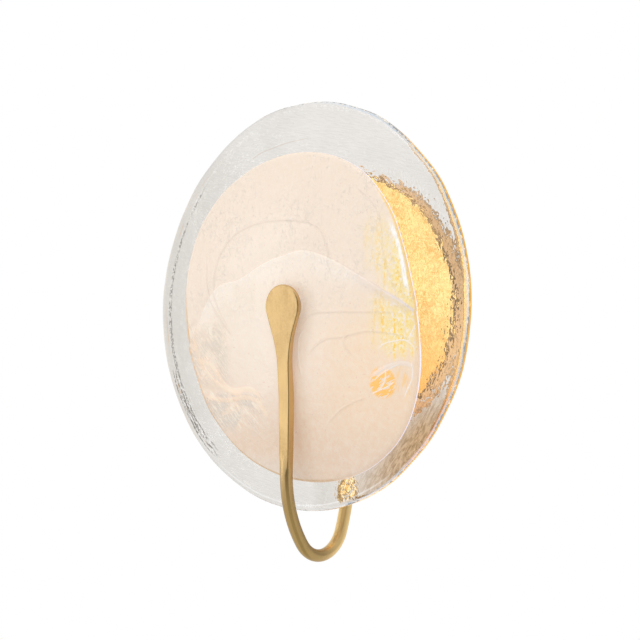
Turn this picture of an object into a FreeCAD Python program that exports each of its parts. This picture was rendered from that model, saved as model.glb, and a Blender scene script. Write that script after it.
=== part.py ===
"""Wall sconce: two dished cast-glass discs held in front of a round canopy by a hairpin arm.

Lengths are millimetres. The origin lies on the wall at the canopy's centre, +Z is up and the
room is towards -Y. A distance out from the wall is written as a positive value called out.
"""

import FreeCAD
import Part
import math
import os

from FreeCAD import Vector

# Canopy: a spun pan whose open side stands on the wall
canopy_radius = 98.0
canopy_depth = 16.0
canopy_sheet = 1.2
canopy_corner = 4.0

# Crossbar behind the canopy, with one ear at each end
strap_width = 22.0
strap_sheet = 1.8
strap_corner = 4.0
slot_spacing = 88.9
slot_width = 5.0
slot_length = 14.0
centre_hole_diameter = 10.2
ear_width = 12.0
ear_bend = 1.5
ear_clearance = 0.3
ear_corner_clearance = 0.5

# Screws through the canopy's wall into the ears
side_screw_diameter = 4.0
side_screw_length = 10.0
side_screw_head_diameter = 7.0
side_screw_head_height = 2.4
side_screw_out = 8.0
side_hole_clearance = 0.2

# Earth screw on the crossbar
earth_screw_z = 24.0
earth_screw_diameter = 3.5
earth_screw_head_diameter = 8.0
earth_screw_head_height = 2.4

# Glass stack: the axis is a little below the canopy's centre
stack_z = -3.2
head_front_out = 98.0
head_thickness = 4.0
collar_thickness = 3.5
collar_diameter = 20.0
front_washer_thickness = 1.5
front_washer_diameter = 24.0
spacer_thickness = 2.0
spacer_diameter = 20.0
spacer_washer_thickness = 1.0
spacer_washer_diameter = 24.0
rear_washer_thickness = 1.5
rear_washer_diameter = 24.0
cup_washer_thickness = 2.0
cup_washer_diameter = 22.0
nut_thickness = 8.0
nut_diameter = 17.0
nut_teeth = 24
nut_tooth_depth = 0.8
stud_diameter = 6.0
stud_grip = 2.5
stud_past_nut = 2.0
thread_clearance = 0.05
bush_wall = 2.4
bush_clearance = 0.1
glass_hole_clearance = 0.3

# Front disc: frosted glass with a poured fold over its lower part
frosted_radius = 120.0
frosted_centre_z = -11.7
frosted_thickness = 6.0
frosted_dish = 7.8
frosted_rim_bevel = 1.8
frosted_lobes = [(2, 5.6, -133.0), (3, 2.5, -161.0), (4, 2.2, -140.0)]
frosted_outline_points = 18
fold_thickness = 1.5
fold_crest = [
    (-135.0, -84.0),
    (-118.0, -48.0),
    (-103.0, -21.0),
    (-88.0, 2.0),
    (-75.0, 13.0),
    (-53.0, 18.0),
    (-28.0, 29.5),
    (-10.0, 34.5),
    (11.0, 38.5),
    (35.0, 33.0),
    (61.0, 21.5),
    (83.0, 10.0),
    (100.0, 1.5),
    (113.0, -7.0),
    (135.0, -21.0),
]

# Rear disc: clear glass
clear_radius = 152.4
clear_thickness = 7.0
clear_dish = 8.5

# Flats ground on both glasses round the hole
seat_grind = 0.1
seat_diameter = 26.0

# Arm: a round rod with three bends, forged flat from its front leg to the head
rod_diameter = 9.5
arm_front_out = 92.5
arm_tip_z = -128.0
front_bend_radius = 87.0
front_bend_angle = 37.0
under_bend_radius = 26.0
rear_bend_radius = 142.0
arm_flat_depth = 0.3
arm_flat_below_canopy = 5.0
arm_lap = 40.0
arm_end_chamfer = 1.5
head_diameter = 32.4
shoulder_angle = 19.8
waist_radius = 90.0
leg_width = 9.2
leg_taper_angle = 0.9
leg_thickness = 6.5
blade_foot_z = -112.0
blade_swell_top = -22.0
blade_swell_bottom = -70.0
blade_swell_round = 90.0
blade_edge_round = 1.0

# Screws from inside the canopy into the arm
arm_screw_diameter = 4.0
arm_screw_head_diameter = 8.0
arm_screw_head_height = 2.6
arm_screw_reach = 5.5
arm_screw_drops = [9.0, 29.0]
arm_screw_tip_gap = 0.5

# Lamp holder bracket on the canopy's face
bracket_sheet = 1.5
bracket_width = 24.0
bracket_height = 24.0
bracket_reach = 34.0
bracket_bend = 1.5
bracket_corner = 4.0
bracket_screw_spacing = 14.0
bracket_screw_drop = 7.0
bracket_screw_diameter = 3.0
bracket_screw_head_diameter = 5.6
bracket_screw_head_height = 1.8
bracket_nut_width = 5.5
bracket_nut_thickness = 2.0
screw_tip_past_nut = 0.8

# Lamp holder
holder_out = 40.0
holder_width = 26.0
holder_depth = 16.0
holder_height = 22.0
holder_corner = 5.0
holder_recess_depth = 6.0
holder_screw_spacing = 20.0
holder_screw_diameter = 2.5
holder_screw_head_diameter = 4.5
holder_screw_head_height = 1.5
holder_screw_reach = 7.0

# Plug-in lamp
lamp_base_width = 14.0
lamp_base_depth = 8.0
lamp_base_height = 14.0
lamp_base_corner = 2.0
lamp_fit_clearance = 0.3
lamp_diameter = 14.0
lamp_cover_height = 38.0
lamp_cover_wall = 0.8
lamp_cover_bevel = 2.4
lamp_core_diameter = 8.0
lamp_core_height = 30.0
pin_spacing = 9.0
pin_wire = 0.9
pin_loop_width = 2.8
pin_length = 9.0
pin_foot_gap = 1.0
pin_foot_round = 1.0
contact_sheet = 0.4
contact_width = 4.4
contact_height = 8.0
contact_clearance = 0.05
slot_clearance = 0.3

# Leads from the holder to the terminal block
lead_diameter = 2.2
lead_flat_count = 8
lead_spacing = 5.0
lead_turn_radius = 6.0
lead_drop = 3.5
lead_block_out = 8.0
lead_side_radius = 5.0
lead_grip = 5.0
lead_bush_bore = 8.2
lead_bush_neck = 10.0
lead_bush_flange_diameter = 12.5
lead_bush_flange_thickness = 1.5
lead_bush_above_arm = 1.75

# Terminal block on the canopy's inner face
block_left_x = 24.0
block_width = 18.0
block_height = 12.0
block_tall = 12.0
block_ear_height = 7.0
block_ear_thickness = 4.0
block_wire_hole = 3.0
block_screw_diameter = 3.0
block_stud_diameter = 3.0
block_nut_width = 5.5
block_nut_thickness = 2.4

# Screwdriver slots in every slotted head
driver_slot_width = 1.0
driver_slot_depth = 1.0

# How far a cut runs past the stock
cut_margin = 1.0

# Sizes that follow from the ones above
canopy_inner_radius = canopy_radius - canopy_sheet
canopy_inner_corner = canopy_corner - canopy_sheet
canopy_face_inner_out = canopy_depth - canopy_sheet
ear_reach = canopy_face_inner_out - canopy_inner_corner - ear_corner_clearance
rod_radius = rod_diameter / 2
arm_rear_out = canopy_depth + rod_radius - arm_flat_depth
head_radius = head_diameter / 2
head_back_out = head_front_out - head_thickness
collar_back_out = head_back_out - collar_thickness
frosted_front_out = collar_back_out - front_washer_thickness
frosted_back_out = frosted_front_out - frosted_thickness
spacer_front_out = frosted_back_out - spacer_washer_thickness
spacer_back_out = spacer_front_out - spacer_thickness
clear_front_out = spacer_back_out - spacer_washer_thickness
clear_back_out = clear_front_out - clear_thickness
cup_front_out = clear_back_out - rear_washer_thickness
nut_front_out = cup_front_out - cup_washer_thickness
nut_back_out = nut_front_out - nut_thickness
stud_back_out = nut_back_out - stud_past_nut
bush_inner_radius = stud_diameter / 2 + bush_clearance
bush_outer_radius = bush_inner_radius + bush_wall
glass_hole_radius = bush_outer_radius + glass_hole_clearance
arm_top_z = arm_lap - canopy_radius
lead_mean_z = arm_top_z + lead_bush_above_arm + lead_bush_flange_diameter / 2
bracket_shelf_z = lead_mean_z + lead_spacing / 2 + lead_turn_radius + lead_drop
holder_top_z = bracket_shelf_z + holder_height
lamp_base_bottom_z = holder_top_z - holder_recess_depth
lamp_cover_bottom_z = lamp_base_bottom_z + lamp_base_height
pocket_floor_z = lamp_base_bottom_z - pin_length - pin_foot_gap
shelf_under_z = bracket_shelf_z - bracket_sheet
arm_screw_heights = [arm_top_z - drop for drop in arm_screw_drops]


def at(x, out, z):
    """A point given by its distance out from the wall."""
    return Vector(x, -out, z)


def peg(radius, out_near, out_far, x=0.0, z=0.0):
    """A cylinder that points out from the wall."""
    return Part.makeCylinder(radius, out_far - out_near, at(x, out_near, z), Vector(0, -1, 0))


def ring(outer_radius, inner_radius, out_near, out_far, x=0.0, z=0.0):
    """A washer whose axis points out from the wall."""
    body = peg(outer_radius, out_near, out_far, x, z)
    return body.cut(peg(inner_radius, out_near, out_far, x, z))


def block(x_low, x_high, out_near, out_far, z_low, z_high):
    """A box given by its limits."""
    return Part.makeBox(x_high - x_low, out_far - out_near, z_high - z_low, at(x_low, out_far, z_low))


def edges_at(shape, test):
    """The edges whose middle point passes the test, given x, out and z."""
    chosen = []
    for edge in shape.Edges:
        middle = edge.valueAt((edge.FirstParameter + edge.LastParameter) / 2)
        if test(middle.x, -middle.y, middle.z):
            chosen.append(edge)
    return chosen


def near(value, target, tolerance=0.01):
    return abs(value - target) < tolerance


def soften(shape, radius, test):
    """Round the edges that pass the test."""
    return shape.makeFillet(radius, edges_at(shape, test))


def hexagon(width, out_near, out_far, x, z):
    """A hexagonal nut blank, given its width across flats."""
    corner_radius = width / math.sqrt(3)
    corners = []
    for index in range(7):
        angle = math.radians(60 * index)
        corners.append(at(x + corner_radius * math.cos(angle), out_near, z + corner_radius * math.sin(angle)))
    face = Part.Face(Part.makePolygon(corners))
    return face.extrude(Vector(0, out_near - out_far, 0))


def rounded_path(points, radii):
    """A wire through the points, with an arc of the given radius at each inner point."""
    edges = []
    start = points[0]
    for index, radius in enumerate(radii):
        corner = points[index + 1]
        back = (points[index] - corner).normalize()
        ahead = (points[index + 2] - corner).normalize()
        half_angle = back.getAngle(ahead) / 2
        reach = radius / math.tan(half_angle)
        bisector = (back + ahead).normalize()
        middle = corner + bisector * (radius / math.sin(half_angle) - radius)
        arc_start = corner + back * reach
        arc_end = corner + ahead * reach
        edges.append(Part.LineSegment(start, arc_start).toShape())
        edges.append(Part.Arc(arc_start, middle, arc_end).toShape())
        start = arc_end
    edges.append(Part.LineSegment(start, points[-1]).toShape())
    return Part.Wire(edges)


def tube(path, radius, sides=0):
    """A round bar along a path, or one with the given number of flats."""
    first = path.OrderedEdges[0]
    start = first.valueAt(first.FirstParameter)
    tangent = first.tangentAt(first.FirstParameter)
    if path.OrderedVertexes[0].Point.distanceToPoint(start) > 0.001:
        start = first.valueAt(first.LastParameter)
        tangent = first.tangentAt(first.LastParameter)
    section = Part.Wire([Part.Circle(start, tangent, radius).toShape()])
    if sides:
        section = Part.makePolygon(section.discretize(sides + 1))
    return path.makePipeShell([section], True, False)


def cheese_head(radius, height, base, direction):
    """A screw head with a straight slot across it, standing on its base point."""
    head = Part.makeCylinder(radius, height, base, direction)
    rim = [edge for edge in head.Edges if edge.Closed]
    top = [edge for edge in rim if edge.Curve.Center.distanceToPoint(base) > height / 2]
    head = head.makeChamfer(min(radius, height) / 4, top)
    length = 2 * (radius + cut_margin)
    slot = Part.makeBox(length, driver_slot_width, driver_slot_depth + cut_margin)
    slot.translate(Vector(-length / 2, -driver_slot_width / 2, height - driver_slot_depth))
    turn = FreeCAD.Rotation(Vector(0, 0, 1), direction)
    slot.Placement = FreeCAD.Placement(base, turn).multiply(slot.Placement)
    return head.cut(slot)


def frosted_outline():
    """The front disc's closed outline: a circle swollen by a few whole waves."""
    points = []
    for index in range(frosted_outline_points):
        angle = 2 * math.pi * index / frosted_outline_points
        reach = frosted_radius
        for waves, height, phase in frosted_lobes:
            reach += height * math.cos(waves * angle - math.radians(phase))
        points.append(at(reach * math.cos(angle), 0, frosted_centre_z + reach * math.sin(angle)))
    curve = Part.BSplineCurve()
    curve.interpolate(Points=points, PeriodicFlag=True)
    return Part.Wire([curve.toShape()])


def dish_layer(front_out, back_out, ball_radius, reach):
    """A dished round plate with a full round rim, turned about the stack's axis."""
    half = (front_out - back_out) / 2
    centre = at(0, front_out - ball_radius, stack_z)
    lean = math.asin((reach - half) / (ball_radius - half))

    def ball_spot(radius, angle):
        return centre + at(radius * math.sin(angle), radius * math.cos(angle), 0)

    front = [ball_spot(ball_radius, lean * share) for share in (0.0, 0.5, 1.0)]
    back = [ball_spot(ball_radius - 2 * half, lean * share) for share in (0.0, 0.5, 1.0)]
    rim_tip = ball_spot(ball_radius - half, lean) + at(half * math.cos(lean), -half * math.sin(lean), 0)
    profile = Part.Wire([
        Part.Arc(*front).toShape(),
        Part.Arc(front[-1], rim_tip, back[-1]).toShape(),
        Part.Arc(*back).toShape(),
        Part.LineSegment(back[0], front[0]).toShape(),
    ])
    return Part.Face(profile).revolve(at(0, 0, stack_z), Vector(0, -1, 0), 360)


def dish_ball_radius(rim_radius, dish):
    """The radius of a ball whose cap of the given rim radius is as deep as the dish."""
    return (rim_radius ** 2 + dish ** 2) / (2 * dish)


def ground_and_drilled(glass, front_out, back_out):
    """Grind a flat seat on both faces and drill the hole for the bush."""
    seat_radius = seat_diameter / 2
    ground = glass.cut(peg(2 * seat_radius, front_out, front_out + seat_grind + cut_margin, z=stack_z))
    ground = ground.cut(peg(seat_radius, back_out - cut_margin, back_out, z=stack_z))
    return ground.cut(peg(glass_hole_radius, back_out - cut_margin, front_out + cut_margin, z=stack_z))


def make_canopy():
    outer = peg(canopy_radius, 0, canopy_depth)
    outer = soften(outer, canopy_corner, lambda x, out, z: near(out, canopy_depth))
    inner = peg(canopy_inner_radius, -cut_margin, canopy_face_inner_out)
    face_edge = edges_at(inner, lambda x, out, z: near(out, canopy_face_inner_out))
    inner = inner.makeChamfer(canopy_inner_corner, face_edge)
    pan = outer.cut(inner)
    hole_radius = side_screw_diameter / 2 + side_hole_clearance
    for turn in (1, -1):
        start = at(0, side_screw_out, turn * (canopy_inner_radius - cut_margin))
        drill = Part.makeCylinder(hole_radius, canopy_sheet + 2 * cut_margin, start, Vector(0, 0, turn))
        pan = pan.cut(drill)
    for height in arm_screw_heights:
        pan = pan.cut(peg(arm_screw_diameter / 2 + side_hole_clearance, 0, canopy_depth, z=height))
    for x, height in bracket_screw_places():
        pan = pan.cut(peg(bracket_screw_diameter / 2, 0, canopy_depth, x, height))
    return pan.cut(peg(lead_bush_neck / 2, 0, canopy_depth, z=lead_mean_z))


def make_wall_strap():
    ear_face = math.sqrt(canopy_inner_radius ** 2 - (ear_width / 2) ** 2) - ear_clearance
    ear_inner = ear_face - strap_sheet
    sheet = block(-strap_width / 2, strap_width / 2, 0, ear_reach, -ear_face, ear_face)
    past_ear = ear_reach + cut_margin
    past_sheet = strap_sheet + cut_margin
    gap = block(-strap_width, strap_width, strap_sheet, past_ear, -ear_inner, ear_inner)
    sheet = sheet.cut(gap)
    inner_fold = soften(
        sheet, ear_bend, lambda x, out, z: near(out, strap_sheet) and near(abs(z), ear_inner))
    folded = soften(
        inner_fold, ear_bend + strap_sheet, lambda x, out, z: near(out, 0) and near(abs(z), ear_face))
    shoulder = ear_inner - 2 * ear_bend
    for side in (1, -1):
        for turn in (1, -1):
            low_x, high_x = sorted((side * ear_width / 2, side * strap_width))
            low_z, high_z = sorted((turn * shoulder, turn * (ear_face + cut_margin)))
            folded = folded.cut(block(low_x, high_x, -cut_margin, past_ear, low_z, high_z))
    folded = soften(
        folded, strap_corner, lambda x, out, z: near(abs(x), strap_width / 2) and near(abs(z), shoulder))
    slot_radius = slot_width / 2
    slot_straight = (slot_length - slot_width) / 2
    for turn in (1, -1):
        middle = turn * slot_spacing / 2
        low_z = middle - slot_straight
        high_z = middle + slot_straight
        folded = folded.cut(peg(slot_radius, -cut_margin, past_sheet, z=low_z))
        folded = folded.cut(peg(slot_radius, -cut_margin, past_sheet, z=high_z))
        folded = folded.cut(block(-slot_radius, slot_radius, -cut_margin, past_sheet, low_z, high_z))
        start = at(0, side_screw_out, turn * (ear_inner - cut_margin))
        tapped_radius = side_screw_diameter / 2 + thread_clearance
        reach = strap_sheet + 2 * cut_margin
        folded = folded.cut(Part.makeCylinder(tapped_radius, reach, start, Vector(0, 0, turn)))
    folded = folded.cut(peg(centre_hole_diameter / 2, -cut_margin, past_sheet))
    return folded.cut(peg(earth_screw_diameter / 2, -cut_margin, past_sheet, z=earth_screw_z))


def make_canopy_screw(turn):
    """A side screw: turn is 1 for the top one and -1 for the bottom one."""
    base = at(0, side_screw_out, turn * canopy_radius)
    along = Vector(0, 0, turn)
    head = cheese_head(side_screw_head_diameter / 2, side_screw_head_height, base, along)
    shank = Part.makeCylinder(side_screw_diameter / 2, side_screw_length, base, along * -1)
    return head.fuse(shank).removeSplitter()


def make_earth_screw():
    base = at(0, strap_sheet, earth_screw_z)
    head = cheese_head(earth_screw_head_diameter / 2, earth_screw_head_height, base, Vector(0, -1, 0))
    shank = peg(earth_screw_diameter / 2, 0, strap_sheet, z=earth_screw_z)
    return head.fuse(shank).removeSplitter()


def blade_front_outline():
    """The arm's outline from the front: the round head, its shoulders, the waist and the leg."""
    shoulder = math.radians(shoulder_angle)
    taper = math.radians(leg_taper_angle)
    touch_x = head_radius * math.cos(shoulder)
    touch_z = stack_z - head_radius * math.sin(shoulder)
    foot_x = leg_width / 2
    slope_gap = math.tan(shoulder) - math.tan(taper)
    meet_z = touch_z - (touch_x - foot_x - math.tan(taper) * (touch_z - blade_foot_z)) / slope_gap
    meet_x = foot_x + math.tan(taper) * (meet_z - blade_foot_z)
    points = [at(touch_x, 0, touch_z), at(meet_x, 0, meet_z), at(foot_x, 0, blade_foot_z)]
    right = rounded_path(points, [waist_radius])
    left = right.mirror(Vector(0, 0, 0), Vector(1, 0, 0))
    top = at(0, 0, stack_z + head_radius)
    cap = Part.Arc(at(touch_x, 0, touch_z), top, at(-touch_x, 0, touch_z)).toShape()
    foot = Part.LineSegment(at(foot_x, 0, blade_foot_z), at(-foot_x, 0, blade_foot_z)).toShape()
    return Part.Wire(Part.__sortEdges__(right.Edges + left.Edges + [cap, foot]))


def blade_side_outline():
    """The arm's outline from the side: thin at the head, thicker down the leg."""
    half = leg_thickness / 2
    above = stack_z + head_diameter
    front = rounded_path([
        at(0, head_front_out, above),
        at(0, head_front_out, blade_swell_top),
        at(0, arm_front_out + half, blade_swell_bottom),
        at(0, arm_front_out + half, blade_foot_z),
    ], [blade_swell_round, blade_swell_round])
    back = rounded_path([
        at(0, head_back_out, above),
        at(0, head_back_out, blade_swell_top),
        at(0, arm_front_out - half, blade_swell_bottom),
        at(0, arm_front_out - half, blade_foot_z),
    ], [blade_swell_round, blade_swell_round])
    ends = [
        Part.LineSegment(at(0, head_front_out, above), at(0, head_back_out, above)).toShape(),
        Part.LineSegment(
            at(0, arm_front_out + half, blade_foot_z), at(0, arm_front_out - half, blade_foot_z)).toShape(),
    ]
    return Part.Wire(Part.__sortEdges__(front.Edges + back.Edges + ends))


def make_blade():
    """The forged part of the front leg, with the head on top."""
    flat = Part.Face(blade_front_outline()).extrude(Vector(0, -2 * head_front_out, 0))
    side = Part.Face(blade_side_outline()).extrude(Vector(2 * head_diameter, 0, 0))
    side.translate(Vector(-head_diameter, 0, 0))
    blade = flat.common(side).removeSplitter()
    return blade.makeFillet(blade_edge_round, blade_long_edges(blade))


def blade_long_edges(blade):
    """The edges round the front and the back face, without those of the foot."""
    chosen = []
    for edge in blade.Edges:
        low = min(vertex.Z for vertex in edge.Vertexes)
        high = max(vertex.Z for vertex in edge.Vertexes)
        along_width = near(abs(edge.tangentAt(edge.FirstParameter).x), 1) and near(low, high)
        along_depth = near(abs(edge.tangentAt(edge.FirstParameter).y), 1) and near(low, high)
        on_foot = near(low, blade_foot_z) and near(high, blade_foot_z)
        if not (on_foot or along_width or along_depth):
            chosen.append(edge)
    return chosen


def make_neck(blade):
    """The stretch where the flat leg turns back into the round rod."""
    foot = [face for face in blade.Faces if near(face.CenterOfMass.z, blade_foot_z)][0]
    centre = at(0, arm_front_out, arm_tip_z)
    arcs = []
    turns = []
    for vertex in foot.OuterWire.OrderedVertexes:
        turns.append(math.atan2(vertex.Y - centre.y, vertex.X - centre.x))
    for index, start in enumerate(turns):
        end = turns[(index + 1) % len(turns)]
        gap = (end - start + math.pi) % (2 * math.pi) - math.pi
        spots = []
        for share in (0.0, 0.5, 1.0):
            angle = start + gap * share
            spots.append(centre + Vector(rod_radius * math.cos(angle), rod_radius * math.sin(angle), 0))
        arcs.append(Part.Arc(*spots).toShape())
    return Part.makeLoft([foot.OuterWire, Part.Wire(arcs)], True, True)


def arm_path():
    """The rod's centre line: down the front leg, under the glasses and up the canopy."""
    lean = math.radians(front_bend_angle)
    span = arm_front_out - arm_rear_out
    rear_lean = math.acos(
        (span - front_bend_radius * (1 - math.cos(lean)) - under_bend_radius * math.cos(lean)
         - rear_bend_radius) / (under_bend_radius - rear_bend_radius))

    def front_spot(angle):
        out = arm_front_out - front_bend_radius * (1 - math.cos(angle))
        return at(0, out, arm_tip_z - front_bend_radius * math.sin(angle))

    turn_start = front_spot(lean)
    under_out = -turn_start.y - under_bend_radius * math.cos(lean)
    under_z = turn_start.z + under_bend_radius * math.sin(lean)

    def under_spot(angle):
        out = under_out + under_bend_radius * math.cos(angle)
        return at(0, out, under_z - under_bend_radius * math.sin(angle))

    turn_end = under_spot(math.pi - rear_lean)

    def rear_spot(angle):
        out = arm_rear_out + rear_bend_radius * (1 - math.cos(angle))
        rise = rear_bend_radius * (math.sin(rear_lean) - math.sin(angle))
        return at(0, out, turn_end.z + rise)

    return Part.Wire([
        Part.Arc(at(0, arm_front_out, arm_tip_z), front_spot(lean / 2), turn_start).toShape(),
        Part.Arc(turn_start, under_spot((lean + math.pi - rear_lean) / 2), turn_end).toShape(),
        Part.Arc(turn_end, rear_spot(rear_lean / 2), rear_spot(0)).toShape(),
        Part.LineSegment(rear_spot(0), at(0, arm_rear_out, arm_top_z)).toShape(),
    ])


def make_arm():
    rod = tube(arm_path(), rod_radius)
    rod = rod.makeChamfer(arm_end_chamfer, edges_at(rod, lambda x, out, z: near(z, arm_top_z)))
    flat = block(-rod_radius, rod_radius, 0, canopy_depth, -canopy_radius - arm_flat_below_canopy, 0)
    rod = rod.cut(flat)
    for height in arm_screw_heights:
        hole_end = canopy_depth + arm_screw_reach + arm_screw_tip_gap
        rod = rod.cut(peg(arm_screw_diameter / 2, canopy_face_inner_out, hole_end, z=height))
    blade = make_blade()
    neck = make_neck(blade)
    socket = peg(stud_diameter / 2, collar_back_out, head_back_out + stud_grip, z=stack_z)
    return rod.fuse([neck, blade]).cut(socket).removeSplitter()


def make_arm_screws():
    screws = []
    for height in arm_screw_heights:
        base = at(0, canopy_face_inner_out, height)
        head = cheese_head(arm_screw_head_diameter / 2, arm_screw_head_height, base, Vector(0, 1, 0))
        shank = peg(arm_screw_diameter / 2, canopy_face_inner_out, canopy_depth + arm_screw_reach, z=height)
        screws.append(head.fuse(shank).removeSplitter())
    return screws


def frosted_ball_radius():
    return dish_ball_radius(frosted_radius, frosted_dish)


def above_the_fold():
    """A tall prism over the part of the front disc that the fold leaves bare."""
    crest = Part.BSplineCurve()
    crest.interpolate(Points=[at(x, 0, z) for x, z in fold_crest])
    first = at(fold_crest[0][0], 0, fold_crest[0][1])
    last = at(fold_crest[-1][0], 0, fold_crest[-1][1])
    high_left = at(first.x, 0, 2 * frosted_radius)
    high_right = at(last.x, 0, 2 * frosted_radius)
    above = Part.Face(Part.Wire([
        crest.toShape(),
        Part.LineSegment(last, high_right).toShape(),
        Part.LineSegment(high_right, high_left).toShape(),
        Part.LineSegment(high_left, first).toShape(),
    ]))
    return above.extrude(Vector(0, -2 * head_front_out, 0))


def make_frosted_glass():
    """The front disc: its lower part carries the fold, and its upper part lies one layer back."""
    ball_radius = frosted_ball_radius()
    top_out = frosted_front_out + seat_grind
    reach = 2 * frosted_radius
    plate = dish_layer(top_out, frosted_back_out, ball_radius, reach)
    prism = Part.Face(frosted_outline()).extrude(Vector(0, -2 * head_front_out, 0))
    glass = plate.common(prism)
    glass = glass.makeChamfer(frosted_rim_bevel, glass.Edges)
    skin = dish_layer(top_out + cut_margin, top_out - fold_thickness, ball_radius + cut_margin, reach)
    glass = glass.cut(skin.common(above_the_fold()))
    return ground_and_drilled(glass, frosted_front_out, frosted_back_out)


def make_clear_glass():
    ball_radius = dish_ball_radius(clear_radius, clear_dish)
    glass = dish_layer(clear_front_out + seat_grind, clear_back_out, ball_radius, clear_radius)
    return ground_and_drilled(glass, clear_front_out, clear_back_out)


def make_knurled_nut():
    """A round nut with straight teeth, turned down a little at both ends."""
    points = []
    for index in range(2 * nut_teeth + 1):
        angle = math.pi * index / nut_teeth
        reach = nut_diameter / 2 - nut_tooth_depth * (index % 2)
        points.append(at(reach * math.cos(angle), nut_back_out, stack_z + reach * math.sin(angle)))
    teeth = Part.Face(Part.makePolygon(points)).extrude(Vector(0, -nut_thickness, 0))
    turned = peg(nut_diameter / 2, nut_back_out, nut_front_out, z=stack_z)
    turned = turned.makeChamfer(nut_tooth_depth, [edge for edge in turned.Edges if edge.Closed])
    nut = teeth.common(turned)
    return nut.cut(peg(stud_diameter / 2 + thread_clearance, nut_back_out, nut_front_out, z=stack_z))


def bracket_screw_places():
    height = bracket_shelf_z + bracket_height - bracket_screw_drop
    return [(-bracket_screw_spacing / 2, height), (bracket_screw_spacing / 2, height)]


def make_holder_bracket():
    face_out = canopy_depth + bracket_sheet
    end_out = canopy_depth + bracket_reach
    top_z = bracket_shelf_z + bracket_height
    body = block(-bracket_width / 2, bracket_width / 2, canopy_depth, end_out, shelf_under_z, top_z)
    gap = block(
        -bracket_width, bracket_width, face_out, end_out + cut_margin, bracket_shelf_z, top_z + cut_margin)
    sheet = body.cut(gap)
    sheet = soften(sheet, bracket_bend, lambda x, out, z: near(out, face_out) and near(z, bracket_shelf_z))
    sheet = soften(
        sheet, bracket_bend + bracket_sheet,
        lambda x, out, z: near(out, canopy_depth) and near(z, shelf_under_z))
    half = bracket_width / 2
    sheet = soften(
        sheet, bracket_corner,
        lambda x, out, z: near(abs(x), half) and (near(z, top_z) or near(out, end_out)))
    for x, height in bracket_screw_places():
        sheet = sheet.cut(peg(bracket_screw_diameter / 2, canopy_depth, face_out, x, height))
    for x in holder_screw_places():
        start = at(x, holder_out, shelf_under_z)
        hole = Part.makeCylinder(holder_screw_diameter / 2, bracket_sheet, start, Vector(0, 0, 1))
        sheet = sheet.cut(hole)
    wire_gap = lead_diameter / 2 + slot_clearance
    spread = lead_spacing / 2 + wire_gap
    window = block(
        -wire_gap, wire_gap, holder_out - spread, holder_out + spread, shelf_under_z, bracket_shelf_z)
    return sheet.cut(window)


def make_bracket_screws():
    screws = []
    for x, height in bracket_screw_places():
        base = at(x, canopy_depth + bracket_sheet, height)
        head = cheese_head(
            bracket_screw_head_diameter / 2, bracket_screw_head_height, base, Vector(0, -1, 0))
        tip = canopy_face_inner_out - bracket_nut_thickness - screw_tip_past_nut
        shank = peg(bracket_screw_diameter / 2, tip, canopy_depth + bracket_sheet, x, height)
        screws.append(head.fuse(shank).removeSplitter())
    return screws


def make_bracket_nuts():
    nuts = []
    for x, height in bracket_screw_places():
        far = canopy_face_inner_out
        nut = hexagon(bracket_nut_width, far - bracket_nut_thickness, far, x, height)
        nuts.append(nut.cut(peg(bracket_screw_diameter / 2, 0, canopy_depth, x, height)))
    return nuts


def holder_screw_places():
    return [-holder_screw_spacing / 2, holder_screw_spacing / 2]


def upright_block(width, depth, z_low, z_high, corner):
    """An upright block round the lamp's axis with rounded corners."""
    body = block(-width / 2, width / 2, holder_out - depth / 2, holder_out + depth / 2, z_low, z_high)
    return soften(body, corner, lambda x, out, z: near(abs(x), width / 2) and near(
        abs(out - holder_out), depth / 2))


def contact_pocket(x):
    """The pocket in the holder for one pair of contact blades."""
    half_x = contact_width / 2 + slot_clearance
    half_out = pin_wire / 2 + contact_clearance + contact_sheet + slot_clearance
    return block(
        x - half_x, x + half_x, holder_out - half_out, holder_out + half_out, pocket_floor_z, holder_top_z)


def make_lamp_holder():
    body = upright_block(holder_width, holder_depth, bracket_shelf_z, holder_top_z, holder_corner)
    recess = upright_block(
        lamp_base_width + 2 * lamp_fit_clearance, lamp_base_depth + 2 * lamp_fit_clearance,
        lamp_base_bottom_z, holder_top_z + cut_margin, lamp_base_corner)
    body = body.cut(recess)
    for x in (-pin_spacing / 2, pin_spacing / 2):
        body = body.cut(contact_pocket(x))
    for x in holder_screw_places():
        start = at(x, holder_out, bracket_shelf_z)
        hole = Part.makeCylinder(holder_screw_diameter / 2, holder_screw_reach, start, Vector(0, 0, 1))
        body = body.cut(hole)
    return body


def make_holder_contacts():
    """Two blades at each pin, which stand on the pocket's floor and press on the pin's sides."""
    near_out = pin_wire / 2 + contact_clearance
    blades = []
    for x in (-pin_spacing / 2, pin_spacing / 2):
        clip = block(
            x - contact_width / 2, x + contact_width / 2, holder_out - near_out - contact_sheet,
            holder_out + near_out + contact_sheet, pocket_floor_z, pocket_floor_z + contact_height)
        gap = block(
            x - contact_width, x + contact_width, holder_out - near_out, holder_out + near_out,
            pocket_floor_z + contact_sheet, pocket_floor_z + contact_height + cut_margin)
        blades.append(clip.cut(gap))
    return blades


def make_holder_screws():
    screws = []
    for x in holder_screw_places():
        base = at(x, holder_out, shelf_under_z)
        head = cheese_head(
            holder_screw_head_diameter / 2, holder_screw_head_height, base, Vector(0, 0, -1))
        shank = Part.makeCylinder(
            holder_screw_diameter / 2, bracket_sheet + holder_screw_reach, base, Vector(0, 0, 1))
        screws.append(head.fuse(shank).removeSplitter())
    return screws


def make_lamp_base():
    return upright_block(
        lamp_base_width, lamp_base_depth, lamp_base_bottom_z, lamp_cover_bottom_z, lamp_base_corner)


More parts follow.
